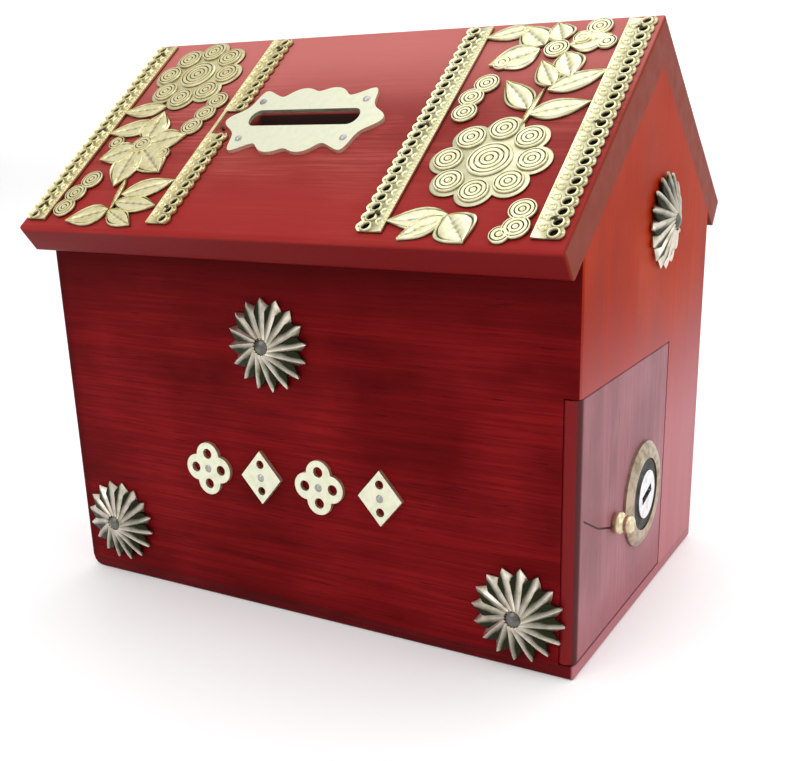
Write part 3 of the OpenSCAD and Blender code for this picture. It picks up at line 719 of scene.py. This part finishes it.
# borders: middle, side the scallops face, links left out; flower: centre;
# leaves: foot, tip, width, bend; coils: centre, kind
stripMotifs = {
    "rightRoofStrip": {
        "node": "right_roof_strip", "metal": "laceBrass",
        "borders": ((26, -1, ()), (62, 1, ())), "flower": (43.8, 43.6),
        "leaves": (((46.5, 29.0), (40.1, 19.9), 4.6, -1.2), ((47.2, 30.5), (58.0, 26.6), 4.4, 0.8),
                   ((48.8, 23.4), (58.6, 17.2), 4.2, 0.8), ((49.4, 22.0), (44.2, 14.6), 4.2, 0.6),
                   ((38.5, 2.2), (29.4, 5.6), 3.6, 0.6), ((42.6, 10.0), (33.6, 14.8), 6.4, 0.5),
                   ((43.2, 8.6), (36.6, 2.4), 5.6, 0), ((46.6, 7.4), (44.0, 1.6), 5.0, 0),
                   ((48.8, 9.2), (56.4, 6.4), 5.4, 0), ((48.6, 11.6), (52.6, 19.0), 5.4, 0.6),
                   ((41.0, 58.6), (29.8, 61.4), 4.6, 0.8), ((40.4, 59.2), (33.2, 64.6), 3.8, -0.5),
                   ((41.2, 58.8), (46.6, 64.8), 6.6, 0.4), ((46.8, 34.0), (47.6, 23.0), 1.2, 0.4)),
        "coils": (((46.2, 10.0), "small"), ((35.6, 14.0), "tiny"), ((34.6, 20.6), "small"),
                  ((32.8, 25.0), "small"), ((33.0, 29.6), "small"), ((55.2, 56.8), "small"),
                  ((55.4, 61.2), "small"), ((53.0, 63.2), "tiny"), ((53.4, 3.4), "small"),
                  ((56.4, 8.6), "tiny"), ((50.8, 6.8), "tiny"))},
    "leftRoofStrip": {
        "node": "left_roof_strip", "metal": "goldBrass",
        "borders": ((-62, -1, ()), (-26, 1, (10, 13))), "flower": (-45.0, 13.4),
        "leaves": (((-47.6, 25.0), (-59.0, 27.6), 4.0, 0.8), ((-46.6, 31.0), (-58.6, 35.0), 4.4, 0.6),
                   ((-46.2, 37.0), (-46.8, 27.6), 6.4, 0), ((-45.2, 38.6), (-36.0, 35.0), 6.0, 0.4),
                   ((-45.2, 40.0), (-35.6, 47.0), 6.4, 0.6), ((-47.2, 40.4), (-46.0, 52.0), 6.6, -0.4),
                   ((-47.8, 39.4), (-55.2, 44.0), 6.0, 0.4), ((-41.2, 55.4), (-30.0, 50.0), 4.6, 0.8),
                   ((-41.6, 57.8), (-30.2, 57.8), 4.2, 0.6), ((-42.0, 60.0), (-51.4, 64.2), 4.8, 0.5),
                   ((-41.6, 60.4), (-33.8, 64.6), 3.8, -0.5), ((-43.4, 50.0), (-41.0, 60.6), 1.2, 0.4)),
        "coils": (((-46.4, 38.6), "small"), ((-35.4, 32.4), "small"), ((-34.2, 27.8), "small"),
                  ((-33.2, 23.4), "small"), ((-53.6, 50.6), "small"), ((-55.4, 55.2), "small"),
                  ((-55.6, 59.8), "small"), ((-54.6, 38.0), "tiny"), ((-38.4, 41.8), "tiny"))},
}


# collects shapes into one mesh, with each point's height in the stamping kept as an attribute, or a level
# given instead, which on the rosette petals is painted light and shade
class Stamping:
    def __init__(self, low, high):
        self.points, self.faces, self.relief, self.low, self.high = [], [], [], low * mm, high * mm

    def add(self, me, matrix=Matrix.Identity(4), relief=None):
        first = len(self.points)
        self.points += [matrix @ v.co for v in me.vertices]
        self.faces += [[first + k for k in p.vertices] for p in me.polygons]
        if relief is None:
            relief = [min(max((v.co.z - self.low) / (self.high - self.low), 0), 1) for v in me.vertices]
        self.relief += relief

    def piece(self, name, material, slot, nodes, matrix, sharp):
        me = bpy.data.meshes.new(name)
        me.from_pydata([matrix @ p for p in self.points], [], self.faces)
        me.attributes.new("relief", "FLOAT", "POINT").data.foreach_set("value", self.relief)
        me.shade_smooth()
        me.set_sharp_from_angle(angle=math.radians(sharp))
        me.materials.append(materials[material])
        piece = bpy.data.objects.new(name, me)
        scene.collection.objects.link(piece)
        settle(piece, "carcass", nodes)


# scalloped brass that carries the flower's coils
def flowerPlate(petals, ring, lobe, height):
    count = petals * 12
    rim = []
    for k in range(count):
        angle = 2 * math.pi * k / count
        off = (angle + math.pi / petals) % (2 * math.pi / petals) - math.pi / petals
        reach = ring * math.cos(off) + math.sqrt(max(lobe ** 2 - (ring * math.sin(off)) ** 2, 0))
        rim.append(Vector((reach * math.cos(angle), reach * math.sin(angle), 0)) * mm)
    bm = bmesh.new()
    layers = [[bm.verts.new(p * grow + Vector((0, 0, z * mm))) for p in rim]
              for grow, z in ((1, 0), (1, height * 0.8), (0.975, height))]
    for a, b in zip(layers, layers[1:]):
        for k in range(count):
            bm.faces.new((a[k], a[(k + 1) % count], b[(k + 1) % count], b[k]))
    bm.faces.new(layers[0][::-1])
    bm.faces.new(layers[-1])
    return bm


coilMeshes = {kind: bmMesh(lathe(coilProfile(r, turns), 28 if r > 3 else 20))
              for kind, (r, turns) in coilParts.items()}
petalSource = sourceOf("petalSource", coilMeshes["petal"])
flowerMesh = runTree(ringOfShapes, {"Shape": petalSource, "Count": flowerShape["petals"],
                                    "Radius": flowerShape["ring"] * mm, "Material": materials["laceBrass"]})
flowerPlateMesh = bmMesh(flowerPlate(*(flowerShape[key] for key in ("petals", "ring", "lobe", "plate"))))
sources = [petalSource]


def flatPlace(p, z=0.0):
    return Matrix.Translation((p[0] * mm, -p[1] * mm, z * mm))


# joins a row of links into one closed band, without the walls between them
def weldedRow(me):
    bm = bmesh.new()
    bm.from_mesh(me)
    bmesh.ops.remove_doubles(bm, verts=bm.verts, dist=making["weld"] / 2 * mm)
    inner = [f for f in bm.faces
             if abs(f.normal.y) > 0.95 and any(len(e.link_faces) > 2 for e in f.edges)]
    bmesh.ops.delete(bm, geom=inner, context="FACES")
    return bmMesh(bm)


def borderRuns(step, gap):
    # rows of whole links, with none where the plate's tip lies
    last = int((stripShape["to"] - stripShape["from"]) / step)
    return [(0, last)] if not gap else [(0, gap[0]), (gap[1], last)]


def addBorder(strip, x, side, gap):
    # links with a scroll between each two, and beads along the rail and the edge
    step, parts = stripShape["pitch"], borderParts
    cell = sourceOf("linkCell", bmMesh(linkCell(step, stripShape["border"], side)))
    dot = sourceOf("railDot", bmMesh(bead(*parts["bead"])))
    scroll = sourceOf("scroll", bmMesh(lathe(parts["scroll"], parts["scrollPoints"])))
    sources.extend((cell, dot, scroll))
    for begin, end in borderRuns(step, gap):
        first = stripShape["from"] + begin * step
        run = end - begin
        rows = [(cell, x, step, run, first + step / 2),
                (scroll, x - side * parts["scrollOff"], step, run - 1, first + step),
                (dot, x - side * parts["railOff"], step / 3, 3 * run, first + step / 6),
                (dot, x + side * parts["edgeOff"], step, run, first + step / 2)]
        for shape, rowX, rowStep, rowCount, start in rows:
            row = runTree(rowOfShapes, {
                "Shape": shape, "Count": rowCount, "Step": (0, -rowStep * mm, 0),
                "Start": (rowX * mm, -start * mm, 0), "Material": materials["laceBrass"]})
            strip.add(weldedRow(row) if shape is cell else row)


def addRail(strip, x, side, gap):
    # the inner rail carries on past the tip
    step, r = stripShape["pitch"], railShape
    rail = bmesh.new()
    size = (r["width"], (gap[1] - gap[0]) * step + r["overlap"], r["height"])
    bmesh.ops.create_cube(rail, size=1, matrix=Matrix.Diagonal([v * mm for v in size] + [1]))
    middle = (x - side * r["off"], stripShape["from"] + (gap[0] + gap[1]) / 2 * step)
    bar = bmMesh(rail)
    strip.add(bar, flatPlace(middle, size[2] / 2), [r["relief"]] * len(bar.vertices))


def addMotifs(strip, s):
    strip.add(flowerPlateMesh, flatPlace(s["flower"]))
    strip.add(flowerMesh, flatPlace(s["flower"], flowerShape["lift"]))
    strip.add(coilMeshes["big"], flatPlace(s["flower"], flowerShape["lift"]))
    for k, (foot, tip, width, bend) in enumerate(s["leaves"]):
        run = Vector((tip[0] - foot[0], foot[1] - tip[1]))
        turn = math.atan2(run.y, run.x) - math.pi / 2
        grown = width * leafGrow if width > stemWidth else width
        # each leaf lies a hair above the one before, so that no two faces coincide
        strip.add(bmMesh(leafBm(run.length * leafOverlap, grown, bend)),
                  flatPlace(foot, 0.004 * k) @ Matrix.Rotation(turn, 4, "Z"))
    for place, kind in s["coils"]:
        strip.add(coilMeshes[kind], flatPlace(place, looseLift))


for stripName, s in stripMotifs.items():
    strip = Stamping(*stripShape["relief"])
    for x, side, gap in s["borders"]:
        addBorder(strip, x, side, gap)
        if gap:
            addRail(strip, x, side, gap)
    addMotifs(strip, s)
    strip.piece(stripName, s["metal"], "pierced_brass", [s["node"]], onSlope, stripShape["angle"])
for source in sources:
    bpy.data.objects.remove(source)


# rosettes
print("rosettes")
rosetteShape = {"petals": 16, "rows": 9, "tip": 10.25, "foot": 1.6, "width": 3.9, "rise": 2.5,
                "fold": 0.95, "sheet": 0.4, "lift": 0.5, "lean": 20, "turn": 6, "turnStep": 7,
                "petalAngle": 22, "angle": 24}
collarShape = {"points": 32, "relief": 0.85,
               "profile": [(3.1, 0.4), (3.1, 2.3), (2.7, 2.85), (2.1, 3.0), (1.75, 2.6), (0, 2.5)]}


def petalBm(s):
    # one pointed petal folded along its middle, from the collar out along +X
    bm = bmesh.new()
    rows = s["rows"]
    top, low = [], []
    for i in range(rows + 1):
        t = i / rows
        r = s["foot"] + (s["tip"] - s["foot"]) * t
        half = s["width"] / 2 * min(1, 0.22 + 1.15 * t) * min(1, (1 - t) * 3.4 + 0.015)
        rise = s["rise"] * (1 - t) ** 0.8 + 0.55
        fold = s["fold"] * min(1, 0.4 + t * 1.2) * min(1, (1 - t) * 4 + 0.1)
        line = [(-half, rise - fold), (-half * 0.45, rise - fold * 0.35), (0, rise),
                (half * 0.5, rise - fold * 0.75), (half, rise - fold * 1.1)]
        top.append([bm.verts.new((r * mm, y * mm, z * mm)) for y, z in line])
        low.append([bm.verts.new((r * mm, y * mm, max(z - s["sheet"], 0) * mm)) for y, z in line])
    last = len(top[0]) - 1
    for i in range(rows):
        for j in range(last):
            bm.faces.new((top[i][j], top[i + 1][j], top[i + 1][j + 1], top[i][j + 1]))
            bm.faces.new((low[i][j], low[i][j + 1], low[i + 1][j + 1], low[i + 1][j]))
        for j, a, b in ((0, top, low), (last, low, top)):
            bm.faces.new((a[i][j], b[i][j], b[i + 1][j], a[i + 1][j]))
    for i in (0, rows):
        bm.faces.new([*top[i], *low[i][::-1]])
    bmesh.ops.recalc_face_normals(bm, faces=bm.faces)
    lean = Matrix.Rotation(math.radians(s["lean"]), 4, "X")
    lift = Matrix.Translation((0, 0, s["lift"] * mm))
    bmesh.ops.transform(bm, matrix=lift @ lean, verts=bm.verts)
    smoothBy(bm, s["petalAngle"])
    return bm


def petalShading(co):
    # painted light and shade: bright on the raised half of the fold and at the tip, dark in the trough
    across, out = co.y / mm, co.x / mm / rosetteShape["tip"]
    return min(max(0.30 - across * 0.62 - across ** 2 * 0.20 + 0.35 * out ** 3, 0), 1)


petal = sourceOf("petal", bmMesh(petalBm(rosetteShape)))
foldShading = [petalShading(v.co) for v in petal.data.vertices]
rosetteMesh = runTree(ringOfShapes, {"Shape": petal, "Count": rosetteShape["petals"], "Radius": 0.0,
                                     "Material": materials["petalBrass"]})
bpy.data.objects.remove(petal)
collarMesh = bmMesh(lathe(collarShape["profile"], collarShape["points"]))
rosetteNodes = ("front_rosette_top", "front_rosette_left", "front_rosette_right",
                "right_gable_rosette", "left_gable_rosette")
for k, node in enumerate(rosetteNodes):
    low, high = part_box(node)
    mid = (low + high) / 2
    if node.startswith("front"):
        place = onFront(mid.x, mid.z)
    else:
        place = onGable(1 if mid.x > 0 else -1, mid.y, mid.z)
    rosette = Stamping(0, 1)
    twist = Matrix.Rotation(math.radians(k * rosetteShape["turnStep"] + rosetteShape["turn"]), 4, "Z")
    rosette.add(rosetteMesh, twist, foldShading * rosetteShape["petals"])
    rosette.add(collarMesh, relief=[collarShape["relief"]] * len(collarMesh.vertices))
    name = "".join(w.capitalize() if i else w for i, w in enumerate(node.split("_")))
    rosette.piece(name, "petalBrass", "rosette_brass", [node], place, rosetteShape["angle"])


# coin slot plate
plateShape = {"step": 0.45, "rounds": 22}


def boundaryLoops(bm):
    # outlines of the top face of a flat sheet lying in the XY plane, as lists of 2-D points
    top = {f for f in bm.faces if f.normal.z > 0.99}
    edges = {e for e in bm.edges if sum(f in top for f in e.link_faces) == 1}
    loops = []
    while edges:
        first = edges.pop()
        chain = [first.verts[0], first.verts[1]]
        while chain[-1] is not chain[0]:
            following = next(e for e in chain[-1].link_edges if e in edges)
            edges.remove(following)
            chain.append(following.other_vert(chain[-1]))
        loops.append([v.co.xy for v in chain[:-1]])
    return loops


def evenly(points, step):
    spread = []
    for a, b in zip(points, points[1:] + points[:1]):
        count = max(round((b - a).length / step), 1)
        spread += [a.lerp(b, k / count) for k in range(count)]
    return spread


def softSheet(sheet, s):
    # the same sheet with its horns rounded; nail heads cover the small holes, so they are left out,
    # and the slot's walls come out square to the sheet
    loops = sorted(boundaryLoops(sheet), key=lambda l: -(max(p.x for p in l) - min(p.x for p in l)))
    outer, slot = evenly(loops[0], s["step"] * mm), loops[1]
    for _ in range(s["rounds"]):
        before, after = outer[-1:] + outer[:-1], outer[1:] + outer[:1]
        outer = [(a + b * 2 + c) / 4 for a, b, c in zip(before, outer, after)]
    low, high = min(v.co.z for v in sheet.verts), max(v.co.z for v in sheet.verts)
    sheet.free()
    bm = bmesh.new()
    edges = []
    for loop in (outer, slot):
        ring = [bm.verts.new((p.x, p.y, low)) for p in loop]
        edges += [bm.edges.new((a, b)) for a, b in zip(ring, ring[1:] + ring[:1])]
    filled = bmesh.ops.triangle_fill(bm, use_beauty=True, edges=edges)["geom"]
    faces = [g for g in filled if isinstance(g, bmesh.types.BMFace)]
    grown = bmesh.ops.extrude_face_region(bm, geom=faces)["geom"]
    lifted = [g for g in grown if isinstance(g, bmesh.types.BMVert)]
    bmesh.ops.translate(bm, verts=lifted, vec=(0, 0, high - low))
    bmesh.ops.recalc_face_normals(bm, faces=bm.faces)
    return bm


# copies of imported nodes: node, material, body, slot and width of the worn edge
print("plate, ornaments, lock and knob")
copies = {
    "slotPlate": ("coin_slot_plate", "plateBrass", "carcass", "sheet_brass", 0.12),
    "ornamentOne": ("front_ornament_1", "plateBrass", "carcass", "sheet_brass", 0.12),
    "ornamentTwo": ("front_ornament_2", "plateBrass", "carcass", "sheet_brass", 0.12),
    "ornamentThree": ("front_ornament_3", "plateBrass", "carcass", "sheet_brass", 0.12),
    "ornamentFour": ("front_ornament_4", "plateBrass", "carcass", "sheet_brass", 0.12),
    "lockRing": ("lock_escutcheon", "turnedBrass", "door", "turned_brass", 0),
    "pullKnob": ("door_knob", "knobBrass", "door", "turned_brass", 0),
    "lockBarrel": ("lock_barrel", "darkSteel", "door", "steel", 0),
    "lockPlug": ("lock_plug", "chromePlate", "lock_core", "chrome", 0.06),
}
for name, (node, material, body, slot, worn) in copies.items():
    piece = copyOfNode(node)
    if name == "slotPlate":
        bmesh.ops.transform(piece, matrix=onSlope.inverted(), verts=piece.verts)
        piece.normal_update()
        piece = softSheet(piece, plateShape)
        bmesh.ops.transform(piece, matrix=onSlope, verts=piece.verts)
    smoothBy(piece, making["metalAngle"])
    made = meshPiece(name, piece, material, body, [node])
    if worn:
        bevel = made.modifiers.new("wornEdge", "BEVEL")
        bevel.width, bevel.segments = worn * mm, 2
        bevel.limit_method, bevel.angle_limit = "ANGLE", math.radians(50)

# nails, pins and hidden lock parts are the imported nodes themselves
plain = {"steelWire": ("base_nails", "roof_brads", "door_pivot_nail", "door_pivot_pin", "slot_plate_nails",
                       "ornament_nails", "lock_nut", "lock_cam", "cam_screw"),
         "nailSteel": ("rosette_nails",), "laceBrass": ("roof_strip_nails",), "turnedBrass": ("lock_wafers",)}
for material, nodes in plain.items():
    for node in nodes:
        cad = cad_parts[node]
        cad.data.materials.clear()
        cad.data.materials.append(materials[material])


# studio, in metres
print("studio")
paper = {"shade": (0.92, 0.92, 0.92), "mottle": 0.98, "rough": 0.55}


def paleSheet(name, corners, glow):
    n = Nodes(name + "Paper")
    tone = n.noise((0.01, 0.01, 0.01), 2)
    dark = tuple(v * paper["mottle"] for v in paper["shade"])
    material = n.finish(Base_Color=n.blend(tone, paper["shade"], dark), Roughness=paper["rough"],
                        Emission_Color=(1, 1, 1, 1), Emission_Strength=glow)
    me = bpy.data.meshes.new(name)
    me.from_pydata(corners, [], [(0, 1, 2, 3)])
    me.materials.append(material)
    sheet = bpy.data.objects.new(name, me)
    scene.collection.objects.link(sheet)
    sheet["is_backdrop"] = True


paleSheet("floor", [(-4, -4, 0), (4, -4, 0), (4, 4, 0), (-4, 4, 0)], 0.10)
paleSheet("backdrop", [(-4, 3, 0), (4, 3, 0), (4, 3, 4), (-4, 3, 4)], 0.4)

skyPower, aimHeight = 0.8, 0.06
lamps = {
    "keyLamp": {"at": (-0.25, -0.75, 0.85), "size": 0.7, "power": 2.6},
    "topLamp": {"at": (0.10, 0.15, 1.0), "size": 0.9, "power": 3.2},
    "sideLamp": {"at": (0.9, -0.1, 0.45), "size": 0.7, "power": 1.6},
}
for name, s in lamps.items():
    data = bpy.data.lights.new(name, "AREA")
    data.shape, data.size, data.energy = "SQUARE", s["size"], s["power"]
    lamp = bpy.data.objects.new(name, data)
    scene.collection.objects.link(lamp)
    lamp.location = s["at"]
    aim = Vector((0, 0, aimHeight)) - Vector(s["at"])
    lamp.rotation_euler = aim.to_track_quat("-Z", "Y").to_euler()

world = bpy.data.worlds.new("studioSky")
world.use_nodes = True
world.node_tree.nodes["Background"].inputs["Color"].default_value = (1, 1, 1, 1)
world.node_tree.nodes["Background"].inputs["Strength"].default_value = skyPower
scene.world = world
scene.view_settings.view_transform = "Standard"

low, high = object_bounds()
print("done")
